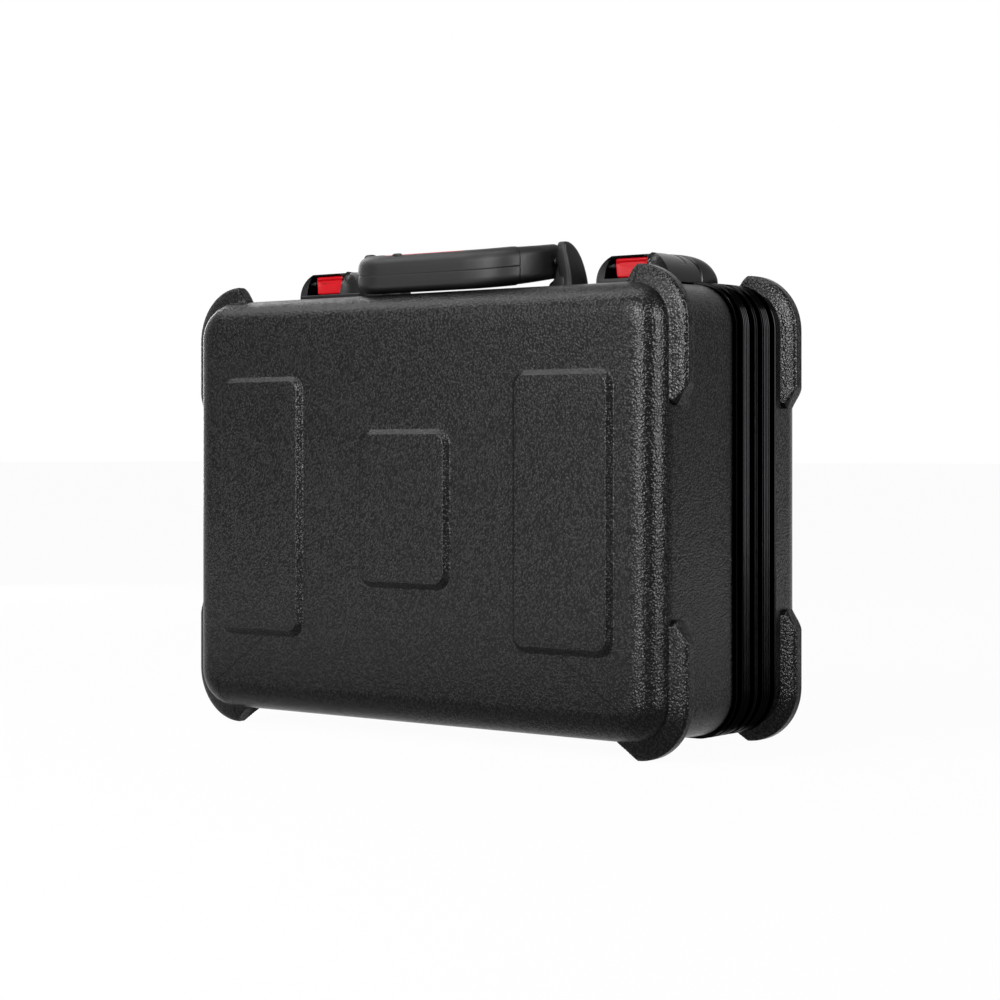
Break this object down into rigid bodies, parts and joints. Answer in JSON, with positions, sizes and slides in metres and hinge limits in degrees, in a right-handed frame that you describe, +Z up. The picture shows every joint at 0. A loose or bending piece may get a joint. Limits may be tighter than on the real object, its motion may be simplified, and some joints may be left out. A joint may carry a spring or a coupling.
{
  "type": "drum electronics case",
  "caption": "Hard moulded carrying case for a drum module: deep base, shallow hinged lid, corner bumpers, metal rim rails, foam pocket, folding grip handle and trigger latches.",
  "frame": {"origin": "on the ground, below the middle of the closed case", "axes": "+X to the right across the wide front, +Y from the padded front to the lid, +Z up towards the handle"},
  "size_m": [0.509, 0.224, 0.4005],
  "materials": {
    "moulded_plastic": "matte",
    "black_rail": "satin",
    "plated_steel": "satin",
    "latch_nylon": "satin",
    "handle_plastic": "matte",
    "grip_rubber": "satin",
    "trigger_red": "gloss",
    "inlay_red": "satin",
    "foam": "matte"
  },
  "bodies": {
    "base": {"base_foam": "foam", "base_shell": "moulded_plastic", "base_valance": "black_rail", "handle_bolt_left_1": "plated_steel", "handle_bolt_left_2": "plated_steel", "handle_bolt_right_1": "plated_steel", "handle_bolt_right_2": "plated_steel", "handle_bracket_left": "handle_plastic", "handle_bracket_right": "handle_plastic", "handle_pin_left": "plated_steel", "handle_pin_right": "plated_steel", "handle_plate_left": "plated_steel", "handle_plate_right": "plated_steel", "hinge_left_base_leaf": "plated_steel", "hinge_left_base_rivet_1": "plated_steel", "hinge_left_base_rivet_2": "plated_steel", "hinge_left_pin": "plated_steel", "hinge_right_base_leaf": "plated_steel", "hinge_right_base_rivet_1": "plated_steel", "hinge_right_base_rivet_2": "plated_steel", "hinge_right_pin": "plated_steel", "latch_left_hook_pin": "plated_steel", "latch_left_housing": "latch_nylon", "latch_left_screw_1": "plated_steel", "latch_left_screw_2": "plated_steel", "latch_left_spring": "plated_steel", "latch_left_trigger_pin": "plated_steel", "latch_right_hook_pin": "plated_steel", "latch_right_housing": "latch_nylon", "latch_right_screw_1": "plated_steel", "latch_right_screw_2": "plated_steel", "latch_right_spring": "plated_steel", "latch_right_trigger_pin": "plated_steel"},
    "lid": {"hinge_left_lid_leaf": "plated_steel", "hinge_left_lid_rivet_1": "plated_steel", "hinge_left_lid_rivet_2": "plated_steel", "hinge_right_lid_leaf": "plated_steel", "hinge_right_lid_rivet_1": "plated_steel", "hinge_right_lid_rivet_2": "plated_steel", "latch_left_keeper": "latch_nylon", "latch_left_keeper_screw_1": "plated_steel", "latch_left_keeper_screw_2": "plated_steel", "latch_right_keeper": "latch_nylon", "latch_right_keeper_screw_1": "plated_steel", "latch_right_keeper_screw_2": "plated_steel", "lid_foam": "foam", "lid_shell": "moulded_plastic", "lid_valance": "black_rail"},
    "handle": {"handle_core": "handle_plastic", "handle_grip": "grip_rubber", "handle_inlay": "inlay_red"},
    "trigger_left": {"latch_left_trigger": "trigger_red"},
    "trigger_right": {"latch_right_trigger": "trigger_red"},
    "hook_left": {"latch_left_hook": "plated_steel"},
    "hook_right": {"latch_right_hook": "plated_steel"}
  },
  "joints": [
    {"name": "lid_hinge", "type": "hinge", "parent": "base", "child": "lid", "pos_m": [0, 0.0275, 0.0048], "axis": [-1, 0, 0], "range_deg": [0, 100]},
    {"name": "handle_swing", "type": "hinge", "parent": "base", "child": "handle", "pos_m": [0, -0.0255, 0.3853], "axis": [-1, 0, 0], "range_deg": [0, 100]},
    {"name": "trigger_left", "type": "hinge", "parent": "base", "child": "trigger_left", "pos_m": [-0.16, -0.014, 0.3795], "axis": [1, 0, 0], "range_deg": [0, 18], "stiffness_Nm_per_rad": 0.05, "springref_deg": -17.19},
    {"name": "hook_left", "type": "hinge", "parent": "base", "child": "hook_left", "pos_m": [-0.16, 0.0045, 0.3715], "axis": [-1, 0, 0], "range_deg": [0, 8.1]},
    {"name": "trigger_right", "type": "hinge", "parent": "base", "child": "trigger_right", "pos_m": [0.16, -0.014, 0.3795], "axis": [1, 0, 0], "range_deg": [0, 18], "stiffness_Nm_per_rad": 0.05, "springref_deg": -17.19},
    {"name": "hook_right", "type": "hinge", "parent": "base", "child": "hook_right", "pos_m": [0.16, 0.0045, 0.3715], "axis": [-1, 0, 0], "range_deg": [0, 8.1]}
  ],
  "couplings": [
    {"joint": "hook_left", "follows": "trigger_left", "ratio": 0.444},
    {"joint": "hook_right", "follows": "trigger_right", "ratio": 0.444}
  ]
}
